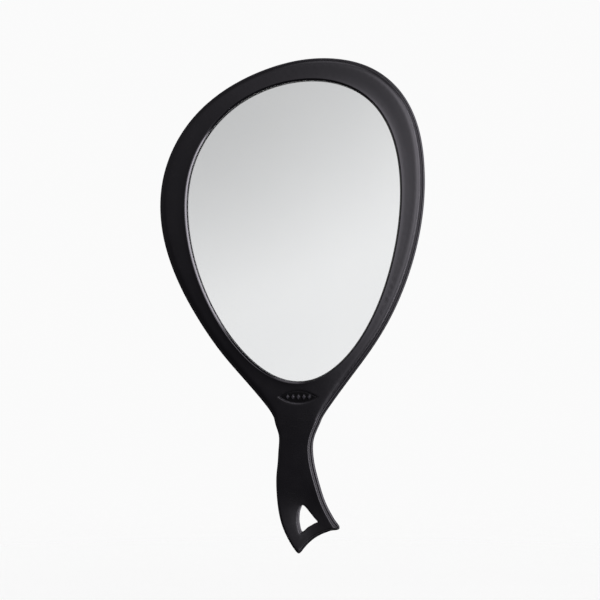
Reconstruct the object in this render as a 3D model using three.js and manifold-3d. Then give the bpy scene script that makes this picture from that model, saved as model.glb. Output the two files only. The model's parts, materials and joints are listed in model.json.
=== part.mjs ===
// Hand mirror: an egg-shaped silvered pane held between a front and a rear
// shell that run on into one curved handle with a hanging hole.
//
// Frame, millimetres: +Z along the mirror towards its top, +X to the right when
// looking into the glass, -Y the way the glass faces. The origin is the middle
// of the grip on the plane where the two shells meet.

import * as THREE from "three";
import { mergeVertices } from "three/addons/utils/BufferGeometryUtils.js";
import Module from "manifold-3d";

const wasm = await Module();
wasm.setup();

// ---------------------------------------------------------------- dimensions

// Control points (x, z) of closed uniform cubic B-splines.
const OUTLINE = [
  [-18.5, 38.2], [-45.9, 69.6], [-68.3, 93.8], [-88.6, 123.1], [-105.6, 152.6], [-119, 185.3],
  [-125.5, 219.2], [-123.3, 253.9], [-110.6, 286.8], [-89.7, 314.5], [-61.9, 335.7], [-30.5, 350.4],
  [3.1, 359.6], [37.9, 360.6], [71.8, 351.7], [98.7, 328.1], [112.9, 295.9], [117.2, 261.5],
  [116.7, 227.2], [111, 192.5], [101.4, 159.8], [87.7, 127.6], [69.9, 98.3], [49.2, 71.4],
  [24, 36.9], [23.9, 33.5], [16.3, 18.6], [15.7, 7], [17.4, -6.5], [20.7, -18.6],
  [24.3, -31.4], [28.3, -42.6], [36.8, -57.1], [36.7, -56.3], [40.4, -61.3], [39.8, -61.5],
  [40.8, -64.2], [33, -65.1], [33.2, -64.8], [17.5, -70.6], [6.8, -82.5], [6.6, -83.5],
  [4, -86.4], [2, -86.2], [-0.3, -83.4], [-2.3, -80.5], [-6.1, -74.8], [-11.9, -62.9],
  [-14.9, -51.5], [-16.6, -39.7], [-17.4, -27.8], [-17.6, -16.1], [-15.8, -3.6], [-15.6, 7.5],
  [-13.9, 20.2], [-19.5, 31.6],
];
const APERTURE = [
  [-98.6, 212.4], [-90.6, 171], [-73.1, 129.4], [-46.4, 92.3], [-14.4, 68.6], [18.9, 68],
  [48.9, 90.6], [72.1, 127.5], [87.1, 170.2], [95.2, 214.1], [96, 257.3], [87.1, 297],
  [64.5, 326.9], [28.3, 340.6], [-15, 337.2], [-55.3, 318.5], [-83.3, 288.1], [-97.5, 252.1],
];
const HANG_HOLE = [
  [7.1, -40.6], [11.1, -44.2], [13, -47], [16.2, -50.6], [18.1, -53.4], [22.8, -57.4],
  [17.2, -58.8], [13.9, -61.2], [10.6, -62.6], [6.2, -67.7], [4.8, -66], [3.6, -59.9],
  [3.1, -56.9], [3.4, -51.9], [3.7, -48.4], [5.5, -43.6],
];

// Depths along Y. Faces that touch share the same value.
const RIM_FRONT = -8.25; // flat of the rim and of the handle
const LIP_BACK = -6.875; // underside of the lip that holds the glass
const GLASS_FRONT = -6.375;
const GLASS_BACK = -3.375;
const PAD_BACK = -1.375;
const FRONT_INNER = -5.75; // inside face of the front shell
const BACK_INNER = 5; // inside face of the rear shell
const BACK_FACE = 7.5; // flat of the back

// Profiles as [distance in from the edge, y].
const FRONT_CROWN = [[1, 0], [1, -1.6], [1.9, -4.4], [4.2, -6.9], [7.6, RIM_FRONT]];
const BACK_CROWN = [[0, 0], [0, 1.75], [1, 4], [3.2, 6.3], [7, BACK_FACE]];
const FRONT_CAVITY = [[3.4, 1], [3.4, 0], [4.6, -4.5], [6.2, FRONT_INNER]];
const BACK_CAVITY = [[3.4, -1], [3.4, 0], [4.4, 3.6], [6, BACK_INNER]];
// Proud lip: falls from the rim flat, rises to a crest, and slopes to the glass.
const LIP = [[5.2, RIM_FRONT], [3.6, -8.75], [2.2, -9.6], [0, -7.625], [0, 0]];
const HOLE_FRONT = [[1.2, RIM_FRONT], [0, -7.2], [0, 0]];
const HOLE_BACK = [[1.2, BACK_FACE], [0, 6.4], [0, 0]];

const GLASS_OVERLAP = 4; // glass edge beyond the aperture
const POCKET_OVERLAP = 4.5;
const RIB_THICKNESS = 1.5;
const RIB_BACK = -2.5;
const TAPE_IN = 1.2;
const TAPE_OUT = 3.6;
const CAVITY_END_Z = -34; // the tail below this is solid in both halves

const SCREWS = [
  [105.2, 265.6], [72.7, 332.9], [-37.4, 337], [-106.3, 264.3],
  [-103.7, 176.6], [97.5, 177.3], [2.5, 36], [2.9, -27],
];
const SHANK_R = 1.45;
const SCREW_HOLE_R = 1.8;
const HEAD_R = 2.9;
const HEAD_SEAT = 3.5;
const HEAD_TOP = 5.5;
const SHANK_END = -4.75;
const WELL_R = 4.8;
const COUNTERBORE_R = 3.3;
const BOSS_R = 3.6;
const BOSS_HOLE_END = -5;

const PADS = [[5, 303], [-62, 250], [62, 250], [-48, 165], [46, 165], [1, 108]];
const PAD_R = 8;
const POST_R = 5;

const BADGE = { x: 3.8, z: 55.3, length: 34, height: 11, floor: -7.25, top: -7.75, gap: 0.35 };
const LOZENGES = [[-9.8, 3, 4], [-4.9, 3.2, 4.6], [0, 3.4, 4.8], [4.9, 3.2, 4.6], [9.8, 3, 4]];
const LOZENGE_TOP = -8.125;

// ------------------------------------------------------------------- outlines

// Point and derivative of a closed uniform cubic B-spline at t.
function splineAt(ctrl, t) {
  const n = ctrl.length,
    i = Math.floor(t),
    u = t - i;
  const b = [(1 - u) ** 3 / 6, (3 * u ** 3 - 6 * u * u + 4) / 6, (-3 * u ** 3 + 3 * u * u + 3 * u + 1) / 6, u ** 3 / 6];
  const d = [-((1 - u) ** 2) / 2, (3 * u * u - 4 * u) / 2, (-3 * u * u + 2 * u + 1) / 2, (u * u) / 2];
  const p = new THREE.Vector2(),
    v = new THREE.Vector2();
  for (let k = 0; k < 4; k++) {
    const [x, z] = ctrl[(i + k - 1 + 2 * n) % n];
    p.add(new THREE.Vector2(x, z).multiplyScalar(b[k]));
    v.add(new THREE.Vector2(x, z).multiplyScalar(d[k]));
  }
  return { p, v };
}

// Samples a spline with chords no longer than `chord` and no further than
// `sag` from the curve, anticlockwise seen from the front, with inward normals
// and the radius of the widest circle that touches each point from inside.
function outline(ctrl, chord, sag) {
  const fine = [];
  for (let i = 0; i < ctrl.length * 40; i++) fine.push(splineAt(ctrl, i / 40));
  let area = 0;
  fine.forEach((a, i) => {
    area += a.p.cross(fine[(i + 1) % fine.length].p);
  });
  if (area < 0) {
    fine.reverse();
    fine.forEach((s) => s.v.negate());
  }
  const kept = [0];
  let last = 0;
  for (let i = 1; i < fine.length; i++) {
    const a = fine[last].p,
      b = fine[i].p,
      m = fine[(last + i) >> 1].p;
    const ab = b.clone().sub(a),
      len = ab.length();
    const off = len > 0 ? Math.abs(ab.cross(m.clone().sub(a))) / len : 0;
    if ((len > chord || off > sag) && i - last > 1) {
      last = i - 1;
      kept.push(last);
    }
  }
  if (fine[kept[kept.length - 1]].p.distanceTo(fine[0].p) < 0.4) kept.pop();
  return kept.map((i) => {
    const { p, v } = fine[i];
    const n = new THREE.Vector2(-v.y, v.x).normalize();
    let r = Infinity;
    for (const q of fine) {
      const d = q.p.clone().sub(p),
        h = d.dot(n);
      if (h > 1e-3 && d.length() > 0.5) r = Math.min(r, d.lengthSq() / (2 * h));
    }
    return { p, n, r };
  });
}

// A loop of (x, z) points `d` in from an outline; `reach` is the furthest inset
// used with it, so that narrow tips take the whole profile at a smaller scale.
const inset = (line, d, reach) =>
  line.map(({ p, n, r }) => p.clone().addScaledVector(n, d * Math.min(1, (0.85 * r) / reach)));
const outset = (line, d) => line.map(({ p, n }) => p.clone().addScaledVector(n, -d));

// ---------------------------------------------------------------------- solids

function solidFrom(positions, triangles) {
  const mesh = (tris) =>
    new wasm.Manifold(
      new wasm.Mesh({ numProp: 3, vertProperties: new Float32Array(positions), triVerts: new Uint32Array(tris) }),
    );
  const made = mesh(triangles);
  if (made.volume() > 0) return made;
  const turned = [];
  for (let i = 0; i < triangles.length; i += 3) turned.push(triangles[i], triangles[i + 2], triangles[i + 1]);
  return mesh(turned);
}

function solidOf(geometry) {
  const bare = (geometry.index ? geometry.toNonIndexed() : geometry).clone();
  for (const name of Object.keys(bare.attributes)) if (name !== "position") bare.deleteAttribute(name);
  const merged = mergeVertices(bare, 1e-4);
  return solidFrom(merged.attributes.position.array, merged.index.array);
}

// A solid bounded by stacked loops. `outer` runs from the parting plane to the
// face; each entry of `holes` runs from the face back to the parting plane. The
// face and the parting plane are closed by flat regions.
function shellSolid(outer, holes) {
  const positions = [],
    triangles = [];
  const add = ({ loop, y }) => {
    const first = positions.length / 3;
    for (const q of loop) positions.push(q.x, y, q.y);
    return loop.map((_, i) => first + i);
  };
  const strip = (a, b) => {
    const n = a.length;
    for (let i = 0; i < n; i++) {
      const j = (i + 1) % n;
      triangles.push(a[i], a[j], b[j], a[i], b[j], b[i]);
    }
  };
  const stack = (loops) => {
    const ids = loops.map(add);
    for (let i = 0; i + 1 < ids.length; i++) strip(ids[i], ids[i + 1]);
    return ids;
  };
  const out = stack(outer),
    ins = holes.map(stack);
  const cap = (contour, contourIds, inner, innerIds, front) => {
    const ids = contourIds.concat(...innerIds);
    const pts = contour.concat(...inner);
    for (const [a, b, c] of THREE.ShapeUtils.triangulateShape(contour, inner)) {
      const ccw = pts[b].clone().sub(pts[a]).cross(pts[c].clone().sub(pts[a])) > 0;
      if (ccw === front) triangles.push(ids[a], ids[b], ids[c]);
      else triangles.push(ids[a], ids[c], ids[b]);
    }
  };
  const endOuter = outer.length - 1;
  cap(outer[endOuter].loop, out[endOuter], holes.map((h) => h[0].loop), ins.map((h) => h[0]), true);
  cap(outer[0].loop, out[0], holes.map((h) => h[h.length - 1].loop), ins.map((h) => h[h.length - 1]), false);
  return solidFrom(positions, triangles);
}

const shapeOf = (loop, holes = []) => {
  const s = new THREE.Shape(loop.map((q) => q.clone()));
  for (const h of holes) s.holes.push(new THREE.Path(h.map((q) => q.clone())));
  return s;
};

// A straight prism of a front-view outline from yBack to yFront.
function prism(loop, holes, yBack, yFront) {
  const g = new THREE.ExtrudeGeometry(shapeOf(loop, holes), { depth: yBack - yFront, bevelEnabled: false });
  g.rotateX(Math.PI / 2).translate(0, yBack, 0);
  return solidOf(g);
}

// A cylinder along Y at (x, z).
function post(x, z, r, yBack, yFront, sides = 12) {
  const g = new THREE.CylinderGeometry(r, r, yBack - yFront, sides);
  g.translate(x, (yBack + yFront) / 2, z);
  return solidOf(g);
}

function block(x0, x1, y0, y1, z0, z1) {
  const g = new THREE.BoxGeometry(x1 - x0, y1 - y0, z1 - z0);
  g.translate((x0 + x1) / 2, (y0 + y1) / 2, (z0 + z1) / 2);
  return solidOf(g);
}

// A pointed oval between two circular arcs, centred on the badge.
function pointedOval(length, height, steps) {
  const a = length / 2,
    h = height / 2,
    r = (a * a + h * h) / (2 * h),
    half = Math.asin(a / r);
  const loop = [];
  for (let i = 0; i < steps; i++) {
    const t = half - (2 * half * i) / steps;
    loop.push(new THREE.Vector2(BADGE.x + r * Math.sin(t), BADGE.z + r * Math.cos(t) - (r - h)));
  }
  for (let i = 0; i < steps; i++) {
    const t = -half + (2 * half * i) / steps;
    loop.push(new THREE.Vector2(BADGE.x + r * Math.sin(t), BADGE.z - r * Math.cos(t) + (r - h)));
  }
  return loop;
}

// ---------------------------------------------------------------------- pieces

const rim = outline(OUTLINE, 17, 0.22);
const glassEdge = outline(APERTURE, 17, 0.22);
const hole = outline(HANG_HOLE, 6, 0.2);

const at = (profile, make) => profile.map(([d, y]) => ({ loop: make(d), y }));
const reachOf = (profile) => profile[profile.length - 1][0];
const crownLoops = (profile) => at(profile, (d) => inset(rim, d, reachOf(profile)));
const belowTail = block(-200, 200, -20, 20, -200, CAVITY_END_Z);

function frontShell() {
  let s = shellSolid(crownLoops(FRONT_CROWN), [
    at(LIP, (d) => outset(glassEdge, d)),
    at(HOLE_FRONT, (d) => outset(hole, d)),
  ]);
  s = s.subtract(shellSolid(crownLoops(FRONT_CAVITY), []).subtract(belowTail));
  const pocket = outset(glassEdge, POCKET_OVERLAP);
  s = s.add(prism(outset(glassEdge, POCKET_OVERLAP + RIB_THICKNESS), [pocket], RIB_BACK, FRONT_INNER - 0.5));
  for (const [x, z] of SCREWS) s = s.add(post(x, z, BOSS_R, 0, FRONT_INNER - 0.75));
  s = s.subtract(prism(pocket, [], 1, LIP_BACK));
  for (const [x, z] of SCREWS) s = s.subtract(post(x, z, SCREW_HOLE_R, 1, BOSS_HOLE_END));
  return s.subtract(prism(pointedOval(BADGE.length, BADGE.height, 12), [], BADGE.floor, RIM_FRONT - 1));
}

function rearShell() {
  let s = shellSolid(crownLoops(BACK_CROWN), [at(HOLE_BACK, (d) => outset(hole, d))]);
  s = s.subtract(shellSolid(crownLoops(BACK_CAVITY), []).subtract(belowTail));
  for (const [x, z] of SCREWS) s = s.add(post(x, z, WELL_R, BACK_INNER + 0.5, 0, 16));
  for (const [x, z] of PADS) s = s.add(post(x, z, POST_R, BACK_INNER + 0.5, PAD_BACK, 16));
  for (const [x, z] of SCREWS) {
    s = s.subtract(post(x, z, COUNTERBORE_R, BACK_FACE + 1, HEAD_SEAT, 16));
    s = s.subtract(post(x, z, SCREW_HOLE_R, HEAD_SEAT + 0.5, -1));
  }
  return s;
}

function screw(x, z) {
  const profile = [
    [0, SHANK_END], [0.7, SHANK_END], [SHANK_R, SHANK_END + 1.4], [SHANK_R, HEAD_SEAT],
    [HEAD_R, HEAD_SEAT], [HEAD_R, HEAD_TOP - 0.7], [HEAD_R - 0.8, HEAD_TOP], [0, HEAD_TOP],
  ].map(([r, y]) => new THREE.Vector2(r, y));
  let s = solidOf(new THREE.LatheGeometry(profile, 12));
  s = s.subtract(block(-1.6, 1.6, HEAD_TOP - 1.1, HEAD_TOP + 1, -0.4, 0.4));
  s = s.subtract(block(-0.4, 0.4, HEAD_TOP - 1.1, HEAD_TOP + 1, -1.6, 1.6));
  return s.translate([x, 0, z]);
}

function badgePlate() {
  const g = BADGE.gap;
  let s = prism(pointedOval(BADGE.length - 4 * g, BADGE.height - 2 * g, 10), [], BADGE.floor, BADGE.top);
  for (const [dx, w, h] of LOZENGES) {
    const x = BADGE.x + dx,
      z = BADGE.z;
    const loop = [[x + w / 2, z], [x, z + h / 2], [x - w / 2, z], [x, z - h / 2]].map((q) => new THREE.Vector2(...q));
    s = s.add(prism(loop, [], BADGE.top + 0.25, LOZENGE_TOP));
  }
  return s;
}

// ------------------------------------------------------------------- the scene

const shellPlastic = { color: 0x17161a, roughness: 0.42, metalness: 0 };
const LOOKS = {
  shell: shellPlastic,
  badge: { color: 0x121114, roughness: 0.35, metalness: 0 },
  mirror: { color: 0xe4e6e8, roughness: 0.03, metalness: 1 },
  tape: { color: 0x0e0e0f, roughness: 0.85, metalness: 0 },
  foam: { color: 0x2b2b2d, roughness: 0.95, metalness: 0 },
  screw: { color: 0x3a3a3d, roughness: 0.38, metalness: 1 },
};

const handMirror = new THREE.Group();
handMirror.name = "hand_mirror";

function place(group, name, solid, look) {
  const m = solid.getMesh(),
    n = m.numProp,
    positions = new Float32Array(m.numVert * 3);
  for (let i = 0; i < m.numVert; i++) positions.set(m.vertProperties.subarray(i * n, i * n + 3), i * 3);
  const geometry = new THREE.BufferGeometry()
    .setAttribute("position", new THREE.BufferAttribute(positions, 3))
    .setIndex(new THREE.BufferAttribute(m.triVerts, 1));
  geometry.computeVertexNormals();
  const mesh = new THREE.Mesh(geometry, new THREE.MeshStandardMaterial({ ...LOOKS[look], flatShading: true }));
  mesh.name = name;
  group.add(mesh);
}

const frame = new THREE.Group(),
  glazing = new THREE.Group(),
  fasteners = new THREE.Group();
handMirror.add(frame, glazing, fasteners);

place(frame, "front_shell", frontShell(), "shell");
place(frame, "rear_shell", rearShell(), "shell");
place(frame, "badge_plate", badgePlate(), "badge");
place(glazing, "mirror_pane", prism(outset(glassEdge, GLASS_OVERLAP), [], GLASS_BACK, GLASS_FRONT), "mirror");
place(
  glazing,
  "pane_tape",
  prism(outset(glassEdge, TAPE_OUT), [outset(glassEdge, TAPE_IN)], GLASS_FRONT, LIP_BACK),
  "tape",
);
PADS.forEach(([x, z], i) => place(glazing, `foam_pad_${i + 1}`, post(x, z, PAD_R, PAD_BACK, GLASS_BACK, 20), "foam"));
SCREWS.forEach(([x, z], i) => place(fasteners, `screw_${i + 1}`, screw(x, z), "screw"));

export default handMirror;
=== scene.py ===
import json
import math

import bpy
import numpy as np
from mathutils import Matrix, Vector, kdtree
from mathutils.geometry import delaunay_2d_cdt

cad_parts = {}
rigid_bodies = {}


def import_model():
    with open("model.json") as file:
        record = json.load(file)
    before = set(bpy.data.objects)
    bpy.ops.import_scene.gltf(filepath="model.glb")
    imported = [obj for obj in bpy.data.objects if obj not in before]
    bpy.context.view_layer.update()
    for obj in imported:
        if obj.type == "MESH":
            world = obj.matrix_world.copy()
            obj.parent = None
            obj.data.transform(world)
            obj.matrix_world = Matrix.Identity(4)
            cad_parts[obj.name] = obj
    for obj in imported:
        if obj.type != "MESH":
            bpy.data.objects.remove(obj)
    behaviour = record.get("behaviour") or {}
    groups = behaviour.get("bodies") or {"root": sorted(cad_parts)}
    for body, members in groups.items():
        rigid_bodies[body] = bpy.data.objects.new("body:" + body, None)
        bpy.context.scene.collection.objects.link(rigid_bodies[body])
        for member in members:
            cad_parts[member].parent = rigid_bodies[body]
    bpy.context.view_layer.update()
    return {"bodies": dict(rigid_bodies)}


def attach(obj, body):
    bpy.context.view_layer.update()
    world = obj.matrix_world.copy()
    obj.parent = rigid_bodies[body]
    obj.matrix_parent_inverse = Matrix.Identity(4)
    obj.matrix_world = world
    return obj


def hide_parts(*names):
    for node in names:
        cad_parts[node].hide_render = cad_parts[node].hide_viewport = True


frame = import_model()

# ------------------------------------------------------------------ dimensions
# Millimetres. (u, v) is the front view: u = +X, v = +Z; w is the depth towards
# the viewer, so a point of a front piece is (x, y, z) = (u, -w, v). Rear pieces
# are built turned round: (x, y, z) = (-u, w, v).

OUTLINE = [
    (-18.5, 38.2), (-45.9, 69.6), (-68.3, 93.8), (-88.6, 123.1), (-105.6, 152.6), (-119, 185.3),
    (-125.5, 219.2), (-123.3, 253.9), (-110.6, 286.8), (-89.7, 314.5), (-61.9, 335.7), (-30.5, 350.4),
    (3.1, 359.6), (37.9, 360.6), (71.8, 351.7), (98.7, 328.1), (112.9, 295.9), (117.2, 261.5),
    (116.7, 227.2), (111, 192.5), (101.4, 159.8), (87.7, 127.6), (69.9, 98.3), (49.2, 71.4),
    (24, 36.9), (23.9, 33.5), (16.3, 18.6), (15.7, 7), (17.4, -6.5), (20.7, -18.6),
    (24.3, -31.4), (28.3, -42.6), (36.8, -57.1), (36.7, -56.3), (40.4, -61.3), (39.8, -61.5),
    (40.8, -64.2), (33, -65.1), (33.2, -64.8), (17.5, -70.6), (6.8, -82.5), (6.6, -83.5),
    (4, -86.4), (2, -86.2), (-0.3, -83.4), (-2.3, -80.5), (-6.1, -74.8), (-11.9, -62.9),
    (-14.9, -51.5), (-16.6, -39.7), (-17.4, -27.8), (-17.6, -16.1), (-15.8, -3.6), (-15.6, 7.5),
    (-13.9, 20.2), (-19.5, 31.6),
]
APERTURE = [
    (-98.6, 212.4), (-90.6, 171), (-73.1, 129.4), (-46.4, 92.3), (-14.4, 68.6), (18.9, 68),
    (48.9, 90.6), (72.1, 127.5), (87.1, 170.2), (95.2, 214.1), (96, 257.3), (87.1, 297),
    (64.5, 326.9), (28.3, 340.6), (-15, 337.2), (-55.3, 318.5), (-83.3, 288.1), (-97.5, 252.1),
]
HANG_HOLE = [
    (7.1, -40.6), (11.1, -44.2), (13, -47), (16.2, -50.6), (18.1, -53.4), (22.8, -57.4),
    (17.2, -58.8), (13.9, -61.2), (10.6, -62.6), (6.2, -67.7), (4.8, -66), (3.6, -59.9),
    (3.1, -56.9), (3.4, -51.9), (3.7, -48.4), (5.5, -43.6),
]

RIM_FRONT = 8.25
LIP_BACK = 6.875
GLASS_FRONT = 6.375
GLASS_BACK = 3.375
PAD_BACK = 1.375
BACK_FACE = 7.5
EDGE = 1.9  # the front shell stands this far inside the rear shell's edge
CREST = 9.55
CREST_AT = 2.0
LIP_FOOT = 7.625

SCREWS = [
    (105.2, 265.6), (72.7, 332.9), (-37.4, 337), (-106.3, 264.3),
    (-103.7, 176.6), (97.5, 177.3), (2.5, 36), (2.9, -27),
]
PADS = [(5, 303), (-62, 250), (62, 250), (-48, 165), (46, 165), (1, 108)]
BADGE = (3.8, 55.3)
LOZENGES = [(-9.8, 3, 4), (-4.9, 3.2, 4.6), (0, 3.4, 4.8), (4.9, 3.2, 4.6), (9.8, 3, 4)]


# --------------------------------------------------------------------- outlines
def spline(ctrl, per):
    """Points and derivatives of a closed uniform cubic B-spline."""
    c = np.array(ctrl, float)
    k = len(c)
    t = np.arange(k * per) / per
    i = np.floor(t).astype(int)
    u = (t - i)[:, None]
    b = [(1 - u) ** 3 / 6, (3 * u**3 - 6 * u**2 + 4) / 6, (-3 * u**3 + 3 * u**2 + 3 * u + 1) / 6, u**3 / 6]
    d = [-((1 - u) ** 2) / 2, (3 * u**2 - 4 * u) / 2, (-3 * u**2 + 2 * u + 1) / 2, u**2 / 2]
    p = sum(b[j] * c[(i + j - 1) % k] for j in range(4))
    v = sum(d[j] * c[(i + j - 1) % k] for j in range(4))
    return p, v


def cross(a, b):
    return a[..., 0] * b[..., 1] - a[..., 1] * b[..., 0]


class Line:
    """An outline sampled for meshing: points, inward normals, and the radius of
    the widest circle that touches each point from inside."""

    def __init__(self, ctrl, step, mirror=False):
        p, v = spline(ctrl, 60)
        if mirror:
            p, v = p * [-1, 1], v * [-1, 1]
        if (cross(p, np.roll(p, -1, 0)).sum()) < 0:
            p, v = p[::-1].copy(), -v[::-1]
        seg = np.hypot(*(np.roll(p, -1, 0) - p).T)
        tang = v / np.maximum(np.hypot(*v.T)[:, None], 1e-9)
        turn = np.abs(cross(tang, np.roll(tang, -1, 0)))
        curve = turn / np.maximum(seg, 1e-9)
        kernel = np.ones(25) / 25
        curve = np.convolve(np.r_[curve[-12:], curve, curve[:12]], kernel, "valid")
        want = np.minimum(step, 0.28 / np.maximum(curve, 1e-6) + 0.12)
        grow = np.r_[0, np.cumsum(seg / want)]
        n = int(round(grow[-1]))
        at = np.interp(np.arange(n) * grow[-1] / n, grow, np.arange(len(grow)))
        i = np.floor(at).astype(int) % len(p)
        f = (at - np.floor(at))[:, None]
        self.p = p[i] * (1 - f) + p[(i + 1) % len(p)] * f
        t = tang[i] * (1 - f) + tang[(i + 1) % len(p)] * f
        t /= np.hypot(*t.T)[:, None]
        self.n = np.stack([-t[:, 1], t[:, 0]], 1)
        self.fine = p
        self.r = np.full(n, np.inf)
        thin = p[::3]
        for a in range(0, n, 200):
            d = thin[None] - self.p[a : a + 200, None]
            h = (d * self.n[a : a + 200, None]).sum(2)
            q = (d**2).sum(2)
            ok = (h > 1e-3) & (q > 0.25)
            self.r[a : a + 200] = np.where(ok, q / np.where(ok, 2 * h, 1), np.inf).min(1)
        tree = kdtree.KDTree(len(p))
        for k, (x, y) in enumerate(p):
            tree.insert((x, y, 0), k)
        tree.balance()
        self.tree = tree

    def inset(self, d, reach=None):
        s = np.ones(len(self.p)) if reach is None else np.minimum(1, 0.85 * self.r / reach)
        return self.p + self.n * (d * s)[:, None]

    def distance(self, q):
        """Distance of each point to the outline."""
        n = len(self.fine)
        k = np.array([self.tree.find((x, y, 0))[1] for x, y in q])
        best = np.full(len(q), np.inf)
        for a, b in (((k - 1) % n, k), (k, (k + 1) % n)):
            pa, pb = self.fine[a], self.fine[b]
            ab = pb - pa
            t = np.clip(((q - pa) * ab).sum(1) / np.maximum((ab**2).sum(1), 1e-12), 0, 1)
            best = np.minimum(best, np.hypot(*(q - pa - ab * t[:, None]).T))
        return best


def inside(poly, q):
    """Which points lie inside a closed polygon."""
    out = np.zeros(len(q), bool)
    a, b = poly, np.roll(poly, -1, 0)
    for s in range(0, len(q), 4000):
        x, y = q[s : s + 4000, 0][:, None], q[s : s + 4000, 1][:, None]
        spans = (a[:, 1] > y) != (b[:, 1] > y)
        dy = np.where(b[:, 1] == a[:, 1], 1, b[:, 1] - a[:, 1])
        cut = (b[:, 0] - a[:, 0]) * (y - a[:, 1]) / dy + a[:, 0]
        out[s : s + 4000] = (spans & (x < cut)).sum(1) % 2 == 1
    return out


def smin(a, b, k):
    h = np.maximum(k - np.abs(a - b), 0) / k
    return np.minimum(a, b) - h * h * k / 4


def circle(c, r, n):
    t = np.arange(n) * 2 * np.pi / n
    return np.stack([c[0] + r * np.cos(t), c[1] + r * np.sin(t)], 1)


def pointed_oval(c, length, height, n):
    a, h = length / 2, height / 2
    r = (a * a + h * h) / (2 * h)
    half = math.asin(a / r)
    t = -half + 2 * half * np.arange(n) / n
    low = np.stack([r * np.sin(t), -r * np.cos(t) + r - h], 1)
    return np.vstack([low, -low]) + c


# ------------------------------------------------------------------------ mesh
class Skin:
    """A closed mesh put together from loops, strips between them and filled
    regions. Loops run anticlockwise seen from the viewer's side."""

    def __init__(self):
        self.uvw, self.faces, self.edge, self.polish = np.zeros((0, 3)), [], [], []

    def loop(self, uv, w, edge=0.0, polish=0.0):
        w = np.broadcast_to(w, (len(uv),))
        first = len(self.uvw)
        self.uvw = np.vstack([self.uvw, np.column_stack([uv, w])])
        self.edge += [edge] * len(uv)
        self.polish += [polish] * len(uv)
        return np.arange(first, first + len(uv))

    def strip(self, a, b):
        j = np.roll(np.arange(len(a)), -1)
        self.faces += [tuple(int(i) for i in f) for f in zip(a, a[j], b[j], b)]

    def stack(self, loops):
        ids = [self.loop(*l) for l in loops]
        for a, b in zip(ids, ids[1:]):
            self.strip(a, b)
        return ids

    def fill(self, outer, holes, spacing, height=None, front=True, smooth=0, seeds=None, firm=None):
        loops = [outer, *holes]
        pts = np.vstack([self.uvw[l][:, :2] for l in loops])
        ids = np.concatenate(loops)
        edges, at = [], 0
        for l in loops:
            edges += [(at + i, at + (i + 1) % len(l)) for i in range(len(l))]
            at += len(l)
        extra = np.zeros((0, 2))
        if spacing:
            lo, hi = pts.min(0), pts.max(0)
            rows = np.arange(lo[1], hi[1], spacing * 0.866)
            grid = [
                np.stack(np.broadcast_arrays(np.arange(lo[0] + (k % 2) * spacing / 2, hi[0], spacing), v), 1)
                for k, v in enumerate(rows)
            ]
            extra = np.vstack(grid)
            keep = inside(self.uvw[outer][:, :2], extra)
            for h in holes:
                keep &= ~inside(self.uvw[h][:, :2], extra)
            extra = extra[keep]
            tree = kdtree.KDTree(len(pts))
            for k, (x, y) in enumerate(pts):
                tree.insert((x, y, 0), k)
            tree.balance()
            far = np.array([tree.find((x, y, 0))[2] for x, y in extra]) if len(extra) else np.zeros(0)
            extra = extra[far > 0.62 * spacing]
            if seeds is not None:
                tree = kdtree.KDTree(len(seeds))
                for k, (x, y) in enumerate(seeds):
                    tree.insert((x, y, 0), k)
                tree.balance()
                far = np.array([tree.find((x, y, 0))[2] for x, y in extra])
                extra = np.vstack([extra[far > 0.62 * spacing], seeds])
        base = len(self.uvw)
        if len(extra):
            self.uvw = np.vstack([self.uvw, np.column_stack([extra, np.zeros(len(extra))])])
            self.edge += [0.0] * len(extra)
            self.polish += [0.0] * len(extra)
            ids = np.concatenate([ids, np.arange(base, base + len(extra))])
            pts = np.vstack([pts, extra])
        out = delaunay_2d_cdt([Vector(p) for p in pts], edges, [], 0, 1e-7, True)
        if len(out[0]) != len(pts):
            raise ValueError("the region's loops touch or cross")
        back = [o[0] for o in out[3]]
        tris = np.array([[back[i] for i in f] for f in out[2]])
        mid = pts[tris].mean(1)
        keep = inside(self.uvw[outer][:, :2], mid)
        for h in holes:
            keep &= ~inside(self.uvw[h][:, :2], mid)
        tris = tris[keep]
        a, b, c = pts[tris[:, 0]], pts[tris[:, 1]], pts[tris[:, 2]]
        turn = cross(b - a, c - a) < 0
        tris[turn] = tris[turn][:, [0, 2, 1]]
        if not front:
            tris = tris[:, [0, 2, 1]]
        if len(extra):
            w = height(extra) if height else np.full(len(extra), self.uvw[outer[0], 2])
            self.uvw[base : base + len(extra), 2] = w
            if smooth:
                full = ids[tris]
                pairs = np.vstack([full[:, [0, 1]], full[:, [1, 2]], full[:, [2, 0]]])
                pairs = np.vstack([pairs, pairs[:, ::-1]])
                give = 0.5 * (1 - firm(extra)) if firm else 0.5
                for _ in range(smooth):
                    total, count = np.zeros(len(self.uvw)), np.zeros(len(self.uvw))
                    np.add.at(total, pairs[:, 0], self.uvw[pairs[:, 1], 2])
                    np.add.at(count, pairs[:, 0], 1)
                    s = slice(base, base + len(extra))
                    mean = total[s] / np.maximum(count[s], 1)
                    self.uvw[s, 2] += give * (mean - self.uvw[s, 2])
        self.faces += [tuple(int(i) for i in ids[t]) for t in tris]

    def build(self, name, material, rear=False, sharp=38):
        u, v, w = self.uvw.T
        xyz = np.column_stack([-u, w, v] if rear else [u, -w, v]) * 1e-3
        mesh = bpy.data.meshes.new(name)
        mesh.from_pydata(xyz.tolist(), [], self.faces)
        mesh.validate()
        mesh.attributes.new("edge", "FLOAT", "POINT").data.foreach_set("value", np.array(self.edge, np.float32))
        mesh.attributes.new("polish", "FLOAT", "POINT").data.foreach_set("value", np.array(self.polish, np.float32))
        mesh.shade_smooth()
        mesh.set_sharp_from_angle(angle=math.radians(sharp))
        o = bpy.data.objects.new(name, mesh)
        bpy.context.scene.collection.objects.link(o)
        o.data.materials.append(material)
        return o


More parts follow.
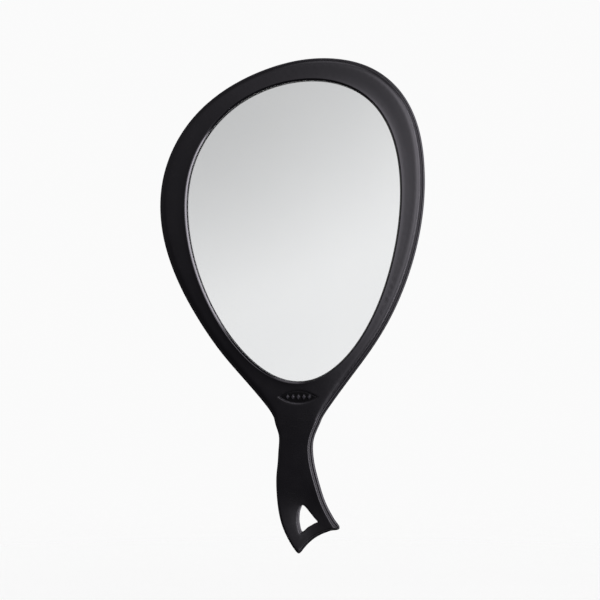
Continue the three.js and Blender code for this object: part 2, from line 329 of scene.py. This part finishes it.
# ------------------------------------------------------------------- materials
def nodes_of(name):
    m = bpy.data.materials.new(name)
    m.use_nodes = True
    t = m.node_tree
    return m, t, t.nodes["Principled BSDF"]


def link(tree, a, b):
    tree.links.new(a, b)


def ramp(tree, source, stops):
    r = tree.nodes.new("ShaderNodeValToRGB")
    e = r.color_ramp.elements
    while len(e) < len(stops):
        e.new(0.5)
    for el, (pos, col) in zip(e, stops):
        el.position = pos
        el.color = (col, col, col, 1) if isinstance(col, (int, float)) else (*col, 1)
    link(tree, source, r.inputs["Fac"])
    return r.outputs["Color"]


def noise(tree, coord, scale, detail=3.0, rough=0.55):
    n = tree.nodes.new("ShaderNodeTexNoise")
    n.inputs["Scale"].default_value = scale
    n.inputs["Detail"].default_value = detail
    n.inputs["Roughness"].default_value = rough
    link(tree, coord, n.inputs["Vector"])
    return n.outputs["Fac"]


def maths(tree, op, a, b=None, c=None):
    n = tree.nodes.new("ShaderNodeMath")
    n.operation = op
    for k, x in enumerate((a, b, c)):
        if x is None:
            continue
        if isinstance(x, (int, float)):
            n.inputs[k].default_value = x
        else:
            link(tree, x, n.inputs[k])
    return n.outputs[0]


def plastic(name, dark, light, rough, spread, specular):
    """Satin moulded plastic: spark-eroded grain, faint flow mottling, hairline
    handling marks, and edges rubbed a little lighter and smoother. Where the edge
    attribute runs high, as on the badge's raised marks, the lighter colour is a
    painted highlight."""
    m, t, p = nodes_of(name)
    co = t.nodes.new("ShaderNodeTexCoord").outputs["Object"]
    flow = noise(t, co, 22, 3)
    grain = noise(t, co, 1500, 2, 0.6)
    cloud = noise(t, co, 90, 4)
    stretch = t.nodes.new("ShaderNodeMapping")
    stretch.inputs["Scale"].default_value = (60, 60, 900)
    stretch.inputs["Rotation"].default_value = (0.2, 0.5, 0.1)
    link(t, co, stretch.inputs["Vector"])
    lines = ramp(t, noise(t, stretch.outputs["Vector"], 1.0, 2), [(0.0, 0.0), (0.66, 0.0), (0.72, 1.0)])
    edge = t.nodes.new("ShaderNodeAttribute")
    edge.attribute_name = "edge"
    # the edge attribute colours rubbed edges lighter and smoother, which is wear; set high on the badge's raised marks,
    # the lighter colour is a painted highlight
    wear_and_painted_highlight = maths(t, "MULTIPLY", edge.outputs["Fac"], maths(t, "ADD", 0.35, maths(t, "MULTIPLY", cloud, 0.9)))
    base = ramp(t, flow, [(0.3, dark), (0.7, light)])
    mix = t.nodes.new("ShaderNodeMix")
    mix.data_type = "RGBA"
    link(t, maths(t, "MULTIPLY", wear_and_painted_highlight, 0.55), mix.inputs["Factor"])
    link(t, base, mix.inputs["A"])
    mix.inputs["B"].default_value = (0.035, 0.034, 0.038, 1)
    link(t, mix.outputs["Result"], p.inputs["Base Color"])
    r = maths(t, "ADD", rough - spread, maths(t, "MULTIPLY", cloud, 2 * spread))
    r = maths(t, "ADD", r, maths(t, "MULTIPLY", lines, 0.05))
    r = maths(t, "SUBTRACT", r, maths(t, "MULTIPLY", wear_and_painted_highlight, 0.08))
    gloss = t.nodes.new("ShaderNodeAttribute")
    gloss.attribute_name = "polish"
    r = maths(t, "SUBTRACT", r, maths(t, "MULTIPLY", gloss.outputs["Fac"], 0.28))
    # the grip is rubbed smoother by hands
    part = t.nodes.new("ShaderNodeSeparateXYZ")
    link(t, co, part.inputs[0])
    held = 0.11
    for low, high, a, b in ((0.025, 0.085, 1.0, 0.0), (-0.055, -0.03, 0.0, 1.0)):
        ease = t.nodes.new("ShaderNodeMapRange")
        ease.interpolation_type = "SMOOTHSTEP"
        for k, v in (("From Min", low), ("From Max", high), ("To Min", a), ("To Max", b)):
            ease.inputs[k].default_value = v
        link(t, part.outputs["Z"], ease.inputs["Value"])
        held = maths(t, "MULTIPLY", ease.outputs["Result"], held)
    r = maths(t, "SUBTRACT", r, held)
    link(t, r, p.inputs["Roughness"])
    p.inputs["Specular IOR Level"].default_value = specular
    height = maths(t, "SUBTRACT", grain, maths(t, "MULTIPLY", lines, 0.25))
    height = maths(t, "MULTIPLY", height, maths(t, "SUBTRACT", 1.0, maths(t, "MULTIPLY", gloss.outputs["Fac"], 0.85)))
    bump = t.nodes.new("ShaderNodeBump")
    bump.inputs["Strength"].default_value = 0.35
    bump.inputs["Distance"].default_value = 0.00004
    link(t, height, bump.inputs["Height"])
    link(t, bump.outputs["Normal"], p.inputs["Normal"])
    return m


def silver():
    m, t, p = nodes_of("silver_coating")
    co = t.nodes.new("ShaderNodeTexCoord").outputs["Object"]
    p.inputs["Metallic"].default_value = 1.0
    p.inputs["Roughness"].default_value = 0.0
    link(t, ramp(t, noise(t, co, 14, 3), [(0.3, (0.97, 0.973, 0.978)), (0.7, (0.983, 0.985, 0.988))]), p.inputs["Base Color"])
    return m


def glass():
    """Clear glass with a very faint film of handling smears."""
    m, t, p = nodes_of("float_glass")
    co = t.nodes.new("ShaderNodeTexCoord").outputs["Object"]
    link(t, ramp(t, noise(t, co, 6, 2), [(0.3, (0.992, 0.997, 0.998)), (0.7, (0.996, 0.999, 1.0))]), p.inputs["Base Color"])
    p.inputs["Transmission Weight"].default_value = 1.0
    p.inputs["Roughness"].default_value = 0.0
    p.inputs["IOR"].default_value = 1.5
    return m


def steel():
    m, t, p = nodes_of("black_oxide_steel")
    co = t.nodes.new("ShaderNodeTexCoord").outputs["Object"]
    link(t, ramp(t, noise(t, co, 900, 3), [(0.35, (0.035, 0.035, 0.038)), (0.75, (0.11, 0.108, 0.112))]), p.inputs["Base Color"])
    p.inputs["Metallic"].default_value = 1.0
    link(t, maths(t, "ADD", 0.3, maths(t, "MULTIPLY", noise(t, co, 500, 4), 0.25)), p.inputs["Roughness"])
    bump = t.nodes.new("ShaderNodeBump")
    bump.inputs["Strength"].default_value = 0.3
    bump.inputs["Distance"].default_value = 0.00003
    link(t, noise(t, co, 2600, 2), bump.inputs["Height"])
    link(t, bump.outputs["Normal"], p.inputs["Normal"])
    return m


def foam():
    m, t, p = nodes_of("closed_cell_foam")
    co = t.nodes.new("ShaderNodeTexCoord").outputs["Object"]
    v = t.nodes.new("ShaderNodeTexVoronoi")
    v.inputs["Scale"].default_value = 1400
    link(t, co, v.inputs["Vector"])
    link(t, ramp(t, v.outputs["Distance"], [(0.1, (0.012, 0.012, 0.013)), (0.6, (0.04, 0.04, 0.043))]), p.inputs["Base Color"])
    link(t, maths(t, "ADD", 0.85, maths(t, "MULTIPLY", noise(t, co, 300, 3), 0.1)), p.inputs["Roughness"])
    bump = t.nodes.new("ShaderNodeBump")
    bump.inputs["Strength"].default_value = 0.7
    bump.inputs["Distance"].default_value = 0.0002
    link(t, v.outputs["Distance"], bump.inputs["Height"])
    link(t, bump.outputs["Normal"], p.inputs["Normal"])
    return m


def tape():
    m, t, p = nodes_of("sealing_tape")
    co = t.nodes.new("ShaderNodeTexCoord").outputs["Object"]
    link(t, ramp(t, noise(t, co, 400, 4), [(0.3, (0.006, 0.006, 0.006)), (0.7, (0.014, 0.014, 0.015))]), p.inputs["Base Color"])
    link(t, maths(t, "ADD", 0.7, maths(t, "MULTIPLY", noise(t, co, 900, 2), 0.2)), p.inputs["Roughness"])
    return m


SHELL = plastic("satin_black_plastic", (0.0032, 0.0030, 0.0036), (0.0046, 0.0043, 0.0052), 0.37, 0.04, 0.5)
# the badge plastic is coloured darker than the shell: painted shade for the recess it sits in
PLATE_WITH_PAINTED_SHADE = plastic("badge_plastic_painted_shade_and_highlight", (0.0012, 0.0011, 0.0013), (0.0020, 0.0019, 0.0022), 0.36, 0.04, 0.22)
SILVER, GLASS, STEEL, FOAM, TAPE = silver(), glass(), steel(), foam(), tape()


# ----------------------------------------------------------------- front shell
rim = Line(OUTLINE, 1.6)
opening = Line(APERTURE, 1.6)
hole = Line(HANG_HOLE, 0.9)


def front_height(q):
    """Height of the front surface over the parting plane: a band that falls away
    from the crest beside the glass, over a broad crown, to a rounded edge."""
    do, da = rim.distance(q), opening.distance(q)
    grip = np.clip((q[:, 1] - 15) / 65, 0, 1)  # the crown fades and the edge tightens down the handle
    grip = grip * grip * (3 - 2 * grip)
    t = np.clip((do - EDGE) / (1.7 + 3.8 * grip), 0, 1)
    edge_drop = 5.4 * (1 - (1 - (1 - t) ** 2.2) ** (1 / 2.2)) + 0.95 * np.exp(-(do - 6) / 6) * (0.12 + 0.88 * grip)
    dish = 2.1 * np.exp(-(((q[:, 0] - 14) / 15) ** 2) - ((q[:, 1] + 52) / 22) ** 2)  # the tail is dished round its hole
    outer = RIM_FRONT + 1.3 * np.exp(-(da - CREST_AT) / 4.5) - edge_drop - dish
    chamfer = LIP_FOOT + (CREST + 0.15 - LIP_FOOT) / CREST_AT * da
    return smin(outer, chamfer, 0.45)


def front_shell():
    s = Skin()
    reach = 3.6
    ins = lambda d: rim.inset(d, reach)
    wall = [(ins(EDGE + 0.12), 0.0, 0.0), (ins(EDGE), 0.12, 0.3), (ins(EDGE), 0.5, 0.1)]
    rolls = []
    for k in (0.0, 0.02, 0.07, 0.16, 0.28, 0.44, 0.64, 0.88, 1.18, 1.5, 1.85):
        q = ins(EDGE + k)
        rolls.append((q, front_height(q), 0.25 if k < 0.3 else 0.0))
    outer = s.stack(wall + rolls)
    inner = []
    for d in (4.6, 4.0, 3.5, 3.1, 2.75, 2.5, 2.3, 2.17, 2.07, 1.98, 1.88, 1.75, 1.5, 1.1, 0.7, 0.35, 0.12):
        q = opening.inset(-d)
        inner.append((q, front_height(q), 0.15 if 1.9 < d < 2.4 else 0.0, 1.0 if d < 1.8 else 0.0))
    inner += [(opening.inset(0), LIP_FOOT - 0.12, 0.2, 1.0), (opening.inset(0), LIP_BACK + 0.1, 0.0, 1.0)]
    inner += [(opening.inset(-0.1), LIP_BACK, 0.0), (opening.inset(-4.4), LIP_BACK, 0.0), (opening.inset(-4.5), LIP_BACK - 0.1, 0.0)]
    inner += [(opening.inset(-4.5), 0.0, 0.0)]
    glaze = s.stack(inner)
    tail = []
    for d, drop in ((1.3, 0.0), (0.9, 0.05), (0.6, 0.17), (0.35, 0.36), (0.16, 0.62), (0.04, 0.95), (0.0, 1.3)):
        q = hole.inset(-d)
        tail.append((q, front_height(q) - drop, 0.2 if d < 0.7 else 0.0))
    tail += [(hole.inset(0), 3.0, 0.0), (hole.inset(0), 0.0, 0.0)]
    eye = s.stack(tail)
    mark = []
    for grow, drop in ((1.5, 0.0), (1.1, 0.04), (0.85, 0.14), (0.6, 0.32), (0.35, 0.56), (0.12, 0.8), (0.0, 0.93)):
        q = pointed_oval(BADGE, 34 + 2.6 * grow, 11 + 2 * grow, 48)
        mark.append((q, front_height(q) - drop, 0.35 if 0.1 < grow < 1 else 0.0))
    badge = s.stack(mark + [(pointed_oval(BADGE, 33.6, 10.7, 48), RIM_FRONT - 1.05, 0.0)])
    s.fill(badge[-1], [], 1.6)
    lines = []  # rows of points that carry on the rolled edge where the band is wide enough
    for k in (2.25, 2.7, 3.2, 3.8, 4.5, 5.3, 6.2):
        d = EDGE + k
        row = (rim.p + rim.n * d)[0.85 * rim.r > d + 1.2]
        row = row[(hole.distance(row) > 3.2) & (opening.distance(row) > 6.0) & (rim.distance(row) > d - 0.02)]
        lines.append(row[(np.abs(row[:, 0] - BADGE[0]) > 21) | (np.abs(row[:, 1] - BADGE[1]) > 9)])
    firm = lambda q: np.clip((9.5 - rim.distance(q)) / 2.5, 0, 1) * (q[:, 1] > 70)
    s.fill(outer[-1], [glaze[0], eye[0], badge[0]], 1.45, front_height, smooth=6, seeds=np.vstack(lines), firm=firm)
    blind = []
    for c in SCREWS:
        ids = s.stack([(circle(c, 1.65, 20), 5.0, 0.0), (circle(c, 1.8, 20), 4.85, 0.0), (circle(c, 1.8, 20), 0.0, 0.0)])
        s.fill(ids[0], [], None, front=False)
        blind.append(ids[-1])
    # the stacks above run from the closed end, so their faces look into the hole
    s.fill(outer[0], [glaze[-1], eye[-1], *blind], None, front=False)
    return s


# ------------------------------------------------------------------ rear shell
back_rim = Line(OUTLINE, 1.6, mirror=True)
back_hole = Line(HANG_HOLE, 0.9, mirror=True)


def back_height(q):
    d = back_rim.distance(q)
    s1 = np.clip(d / 3.0, 0, 1)
    s2 = np.clip(d / 11.0, 0, 1)
    return 2.0 + 3.1 * np.sqrt(np.maximum(1 - (1 - s1) ** 2, 0)) + (BACK_FACE - 5.1) * (1 - (1 - s2) ** 2)


def rear_shell():
    s = Skin()
    reach = 3.6
    ins = lambda d: back_rim.inset(d, reach)
    loops = [
        (ins(2.9), 0.0, 0.0), (ins(2.8), 0.5, 0.0), (ins(1.95), 0.55, 0.0), (ins(1.75), 0.42, 0.1), (ins(1.66), 0.2, 0.3),
        (ins(1.56), 0.07, 0.5), (ins(1.4), 0.02, 0.5), (ins(1.15), 0.07, 0.4), (ins(0.85), 0.2, 0.3), (ins(0.57), 0.4, 0.2),
        (ins(0.33), 0.66, 0.1), (ins(0.15), 1.0, 0.0), (ins(0.04), 1.36, 0.0), (ins(0.0), 1.75, 0.0),
    ]
    for k in (0.0, 0.03, 0.1, 0.2, 0.34, 0.54, 0.8, 1.1, 1.5, 2.0, 2.6, 3.3):
        q = ins(k)
        loops.append((q, back_height(q), 0.0))
    outer = s.stack(loops)
    tail = []
    for d, drop in ((1.3, 0.0), (0.9, 0.05), (0.6, 0.17), (0.35, 0.36), (0.16, 0.62), (0.04, 0.95), (0.0, 1.3)):
        q = back_hole.inset(-d)
        tail.append((q, back_height(q) - drop, 0.2 if d < 0.7 else 0.0))
    eye = s.stack(tail + [(back_hole.inset(0), 3.0, 0.0), (back_hole.inset(0), 0.0, 0.0)])
    wells = []
    for x, z in SCREWS:
        c = (-x, z)
        top = [(circle(c, r, 40), back_height(circle(c, r, 40)) - drop, e) for r, drop, e in
               ((4.1, 0.0, 0.0), (3.75, 0.03, 0.2), (3.5, 0.12, 0.4), (3.36, 0.28, 0.3), (3.3, 0.5, 0.0))]
        low = [(circle(c, r, 40), w, 0.0) for r, w in
               ((3.3, 3.75), (3.22, 3.56), (3.0, 3.5), (1.9, 3.5), (1.8, 3.4), (1.8, 0.0))]
        wells.append(s.stack(top + low))
    posts = []
    for x, z in PADS:
        c = (-x, z)
        ids = s.stack([(circle(c, 5.4, 28), 0.0, 0.0), (circle(c, 5.05, 28), -0.3, 0.0), (circle(c, 5.0, 28), -1.2, 0.0), (circle(c, 4.85, 28), -PAD_BACK, 0.0)][::-1])
        s.fill(ids[0], [], None, front=False)
        posts.append(ids[-1])
    s.fill(outer[-1], [eye[0], *[w[0] for w in wells]], 3.0, back_height, smooth=4)
    s.fill(outer[0], [eye[-1], *[w[-1] for w in wells], *posts], None, front=False)
    return s


# -------------------------------------------------------------- smaller pieces
def slab(line, profile, spacing=None):
    """A plate whose edge follows an outline: profile is (outset, w) from back to front."""
    s = Skin()
    ids = s.stack([(line.inset(-d), w, 0.0) for d, w in profile])
    s.fill(ids[0], [], spacing, front=False)
    s.fill(ids[-1], [], spacing)
    return s


def ring(line, low, high, d0, d1):
    s = Skin()
    ids = s.stack([(line.inset(-d), w, 0.0) for d, w in
                   ((d1 - 0.05, low), (d1, low + 0.06), (d1, high - 0.06), (d1 - 0.05, high),
                    (d0 + 0.05, high), (d0, high - 0.06), (d0, low + 0.06), (d0 + 0.05, low))])
    s.strip(ids[-1], ids[0])
    return s


def disc(c, profile, n=36):
    s = Skin()
    ids = s.stack([(circle(c, r, n), w, 0.0) for r, w in profile])
    s.fill(ids[0], [], None, front=False)
    s.fill(ids[-1], [], 2.0)
    return s


def badge_plate():
    s = Skin()
    ids = s.stack([(pointed_oval(BADGE, 33 - k, 10.2 - 0.7 * k, 48), w, e) for k, w, e in
                   ((0.2, 7.2, 0), (0, 7.24, 0), (0, 7.32, 0.3), (0.1, 7.38, 0.4), (0.3, 7.4, 0.2))])
    s.fill(ids[0], [], None, front=False)
    bases = []
    for dx, w, h in LOZENGES:
        corners = np.array([(w / 2, 0), (0, h / 2), (-w / 2, 0), (0, -h / 2)])
        # each side bows out very slightly, so no three points of it lie in line
        side = np.vstack([(corners[i] + (corners[(i + 1) % 4] - corners[i]) * f) * (1 + 0.05 * math.sin(math.pi * f))
                          for i in range(4) for f in (0.0, 0.1, 0.35, 0.65, 0.9)])
        c = np.array([BADGE[0] + dx, BADGE[1]])
        # the last number of each step feeds the edge attribute: set this high, it colours the raised marks lighter, a
        # painted highlight on them
        steps = ((1.08, 7.4, 0.0), (1.0, 7.46, 0.2), (0.86, 7.8, 1.2), (0.74, 8.02, 1.8), (0.58, 8.1, 1.8), (0.3, 8.125, 1.6))
        up = s.stack([(c + side * k, z, e) for k, z, e in steps])
        s.fill(up[-1], [], None)
        bases.append(up[0])
    s.fill(ids[-1], bases, 1.0)
    return s


def screw(x, z):
    s = Skin()
    c = (-x, z)
    prof = [(0.45, -4.75), (0.7, -4.6)]
    w, k = -4.2, 0
    while w < 2.6:  # shallow rings stand for the thread
        prof += [(1.16, w), (1.42, w + 0.22), (1.42, w + 0.32), (1.16, w + 0.55)]
        w += 0.85
    prof += [(1.3, 2.9), (1.45, 3.2), (1.45, 3.5), (2.75, 3.5), (2.9, 3.62), (2.9, 4.5), (2.82, 4.85), (2.6, 5.12), (2.25, 5.34), (1.95, 5.44)]
    ids = s.stack([(circle(c, r, 32), h, 0.0) for r, h in prof])
    s.fill(ids[0], [], None, front=False)
    # cross recess
    a, b = 1.5, 0.36
    cross_pts = np.array([(a, -b), (a, b), (b + 0.12, b), (b, b + 0.12), (b, a), (-b, a), (-b, b + 0.12), (-b - 0.12, b), (-a, b),
                          (-a, -b), (-b - 0.12, -b), (-b, -b - 0.12), (-b, -a), (b, -a), (b, -b - 0.12), (b + 0.12, -b)])
    at = np.array(c)
    up = s.stack([(at + cross_pts * 1.06, 5.5, 0.6), (at + cross_pts, 5.46, 0.5), (at + cross_pts * 0.94, 4.95, 0.0), (at + cross_pts * 0.75, 4.4, 0.0)])
    s.fill(up[-1], [], None)
    s.fill(ids[-1], [up[0]], None)
    return s


BODY = list(frame["bodies"])[0]


def piece(skin, name, material, *nodes, rear=False, sharp=38):
    o = skin.build(name, material, rear, sharp)
    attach(o, BODY)
    if nodes:
        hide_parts(*nodes)
    return o


piece(front_shell(), "front_frame", SHELL, "front_shell", sharp=60)
piece(rear_shell(), "rear_cover", SHELL, "rear_shell", rear=True)
piece(badge_plate(), "badge_inlay", PLATE_WITH_PAINTED_SHADE, "badge_plate")
piece(slab(opening, [(3.6, GLASS_BACK + 0.06), (4.0, GLASS_BACK + 0.4), (4.0, GLASS_FRONT - 0.4), (3.6, GLASS_FRONT)], 9.0), "pane_glass", GLASS, "mirror_pane")
piece(slab(opening, [(3.7, GLASS_BACK), (3.7, GLASS_BACK + 0.05)], 9.0), "pane_silver", SILVER, "mirror_pane")
piece(ring(opening, GLASS_FRONT, LIP_BACK, 1.2, 3.6), "seal_tape", TAPE, "pane_tape")
for i, c in enumerate(PADS):
    pad = disc(c, [(7.3, PAD_BACK), (7.8, PAD_BACK + 0.25), (8.0, PAD_BACK + 0.8), (8.0, GLASS_BACK - 0.8), (7.8, GLASS_BACK - 0.25), (7.3, GLASS_BACK)])
    piece(pad, f"pad_{i + 1}", FOAM, f"foam_pad_{i + 1}")
for i, (x, z) in enumerate(SCREWS):
    piece(screw(x, z), f"fixing_{i + 1}", STEEL, f"screw_{i + 1}", rear=True, sharp=30)

# ----------------------------------------------------------------------- stage
floor_mesh = bpy.data.meshes.new("floor")
ring_r = [0.0, 0.3, 0.6, 1.0, 1.5, 2.1, 2.8, 3.6]
verts, faces = [(0, 0, 0)], []
for r in ring_r[1:]:
    verts += [(r * math.cos(t * math.tau / 64), r * math.sin(t * math.tau / 64), 0) for t in range(64)]
faces += [(0, 1 + k, 1 + (k + 1) % 64) for k in range(64)]
for j in range(len(ring_r) - 2):
    a = 1 + 64 * j
    faces += [(a + k, a + 64 + k, a + 64 + (k + 1) % 64, a + (k + 1) % 64) for k in range(64)]
floor_mesh.from_pydata(verts, [], faces)
floor = bpy.data.objects.new("floor", floor_mesh)
floor.location = (0, 0, -0.34)
bpy.context.scene.collection.objects.link(floor)
floor.visible_glossy = False
floor.visible_diffuse = False
m = bpy.data.materials.new("floor_paint")
m.use_nodes = True
t = m.node_tree
t.nodes.clear()
out = t.nodes.new("ShaderNodeOutputMaterial")
co = t.nodes.new("ShaderNodeTexCoord")
length = t.nodes.new("ShaderNodeVectorMath")
length.operation = "LENGTH"
link(t, co.outputs["Object"], length.inputs[0])
fade = t.nodes.new("ShaderNodeMapRange")
fade.interpolation_type = "SMOOTHSTEP"
for k, v in (("From Min", 0.7), ("From Max", 2.7), ("To Min", 0.0), ("To Max", 1.0)):
    fade.inputs[k].default_value = v
link(t, length.outputs["Value"], fade.inputs["Value"])
diffuse = t.nodes.new("ShaderNodeBsdfDiffuse")
diffuse.inputs["Color"].default_value = (0.8, 0.838, 0.755, 1)
glow = t.nodes.new("ShaderNodeEmission")
glow.inputs["Strength"].default_value = 0.42
both = t.nodes.new("ShaderNodeAddShader")
link(t, diffuse.outputs[0], both.inputs[0])
link(t, glow.outputs[0], both.inputs[1])
clear = t.nodes.new("ShaderNodeBsdfTransparent")
mixs = t.nodes.new("ShaderNodeMixShader")
link(t, fade.outputs[0], mixs.inputs[0])
link(t, both.outputs[0], mixs.inputs[1])
link(t, clear.outputs[0], mixs.inputs[2])
link(t, mixs.outputs[0], out.inputs["Surface"])
floor_mesh.materials.append(m)

# ----------------------------------------------------------------------- light
world = bpy.data.worlds.new("studio")
bpy.context.scene.world = world
world.use_nodes = True
t = world.node_tree
t.nodes.clear()
out = t.nodes.new("ShaderNodeOutputWorld")
co = t.nodes.new("ShaderNodeTexCoord").outputs["Generated"]


def direction(az, el):
    a, e = math.radians(az), math.radians(el)
    return (math.sin(a) * math.cos(e), -math.cos(a) * math.cos(e), math.sin(e))


def patch(az, el, inner, outer, strength):
    """A round soft patch of light in the sky; azimuth 0 is in front of the glass and 90 is its right."""
    dot = t.nodes.new("ShaderNodeVectorMath")
    dot.operation = "DOT_PRODUCT"
    link(t, co, dot.inputs[0])
    dot.inputs[1].default_value = direction(az, el)
    mr = t.nodes.new("ShaderNodeMapRange")
    mr.interpolation_type = "SMOOTHSTEP"
    mr.inputs["From Min"].default_value = math.cos(math.radians(outer))
    mr.inputs["From Max"].default_value = math.cos(math.radians(inner))
    mr.inputs["To Min"].default_value = 0.0
    mr.inputs["To Max"].default_value = strength
    link(t, dot.outputs["Value"], mr.inputs["Value"])
    return mr.outputs[0]


def tall_box(az, inner, outer, low, high, strength):
    """A tall narrow softbox standing at one azimuth, from one elevation to another."""

    def axis(v, a, b):
        dot = t.nodes.new("ShaderNodeVectorMath")
        dot.operation = "DOT_PRODUCT"
        link(t, co, dot.inputs[0])
        dot.inputs[1].default_value = v
        value = dot.outputs["Value"]
        if v[2] == 0 and a > b:
            value = maths(t, "ABSOLUTE", value)
        mr = t.nodes.new("ShaderNodeMapRange")
        mr.interpolation_type = "SMOOTHSTEP"
        mr.inputs["From Min"].default_value = min(a, b)
        mr.inputs["From Max"].default_value = max(a, b)
        mr.inputs["To Min"].default_value = 1.0 if a > b else 0.0
        mr.inputs["To Max"].default_value = 0.0 if a > b else 1.0
        link(t, value, mr.inputs["Value"])
        return mr.outputs[0]

    sin = lambda deg: math.sin(math.radians(deg))
    across = axis(direction(az - 90, 0), sin(outer), sin(inner))
    ahead = axis(direction(az, 0), 0.0, 0.1)
    up = axis((0, 0, 1), sin(low - 5), sin(low + 5))
    down = axis((0, 0, 1), sin(high + 5), sin(high - 5))
    return maths(t, "MULTIPLY", maths(t, "MULTIPLY", across, ahead), maths(t, "MULTIPLY", maths(t, "MULTIPLY", up, down), strength))


# the plastic and the steel see softboxes; the glass sees a pale card with one darker corner
studio = maths(t, "ADD", 0.05, patch(38, 17, 10, 38, 3.6))
studio = maths(t, "ADD", studio, tall_box(81, 3, 8, -36, 38, 9.6))
SOFTBOXES = (
    (41, -15, 8, 28, 1.3),
    (6, 84, 6, 22, 1.6), (0, 46, 8, 36, 0.34), (-80, 20, 10, 50, 0.12), (-25, 35, 10, 45, 0.15), (150, 5, 20, 50, 0.5),
)
for args in SOFTBOXES:
    studio = maths(t, "ADD", studio, patch(*args))
card = maths(t, "SUBTRACT", maths(t, "SUBTRACT", 1.06, patch(-13, 13, 5, 14, 0.37)), patch(-20, 0, 5, 14, 0.07))
card = maths(t, "SUBTRACT", card, patch(-50, -32, 5, 42, 0.2))
lit = t.nodes.new("ShaderNodeBackground")
lit.inputs["Color"].default_value = (1.0, 0.955, 1.06, 1)
link(t, studio, lit.inputs["Strength"])
pale = t.nodes.new("ShaderNodeBackground")
link(t, card, pale.inputs["Strength"])
seen = t.nodes.new("ShaderNodeBackground")
seen.inputs["Color"].default_value = (1, 1, 1, 1)
seen.inputs["Strength"].default_value = 0.96
path = t.nodes.new("ShaderNodeLightPath")
sharp = t.nodes.new("ShaderNodeMixShader")
link(t, path.outputs["Is Singular Ray"], sharp.inputs[0])
link(t, lit.outputs[0], sharp.inputs[1])
link(t, pale.outputs[0], sharp.inputs[2])
pick = t.nodes.new("ShaderNodeMixShader")
link(t, path.outputs["Is Camera Ray"], pick.inputs[0])
link(t, sharp.outputs[0], pick.inputs[1])
link(t, seen.outputs[0], pick.inputs[2])
link(t, pick.outputs[0], out.inputs["Surface"])

# ---------------------------------------------------------------------- camera
AZ = math.radians(8.0)
TARGET = Vector((0.0045, 0.0, 0.1422))
back = Vector((math.sin(AZ), -math.cos(AZ), 0.0))
cam_data = bpy.data.cameras.new("camera")
cam_data.sensor_width = 36.0
cam_data.lens = 1777.78 / 600 * 36
cam = bpy.data.objects.new("camera", cam_data)
bpy.context.scene.collection.objects.link(cam)
cam.location = TARGET + back * 1.6
cam.rotation_mode = "QUATERNION"
cam.rotation_quaternion = (-back).to_track_quat("-Z", "Y")
bpy.context.scene.camera = cam

scene = bpy.context.scene
scene.view_settings.view_transform = "Standard"
scene.view_settings.look = "None"
scene.cycles.max_bounces = 12
scene.cycles.transmission_bounces = 8
scene.cycles.transparent_max_bounces = 8
scene.cycles.use_denoising = True
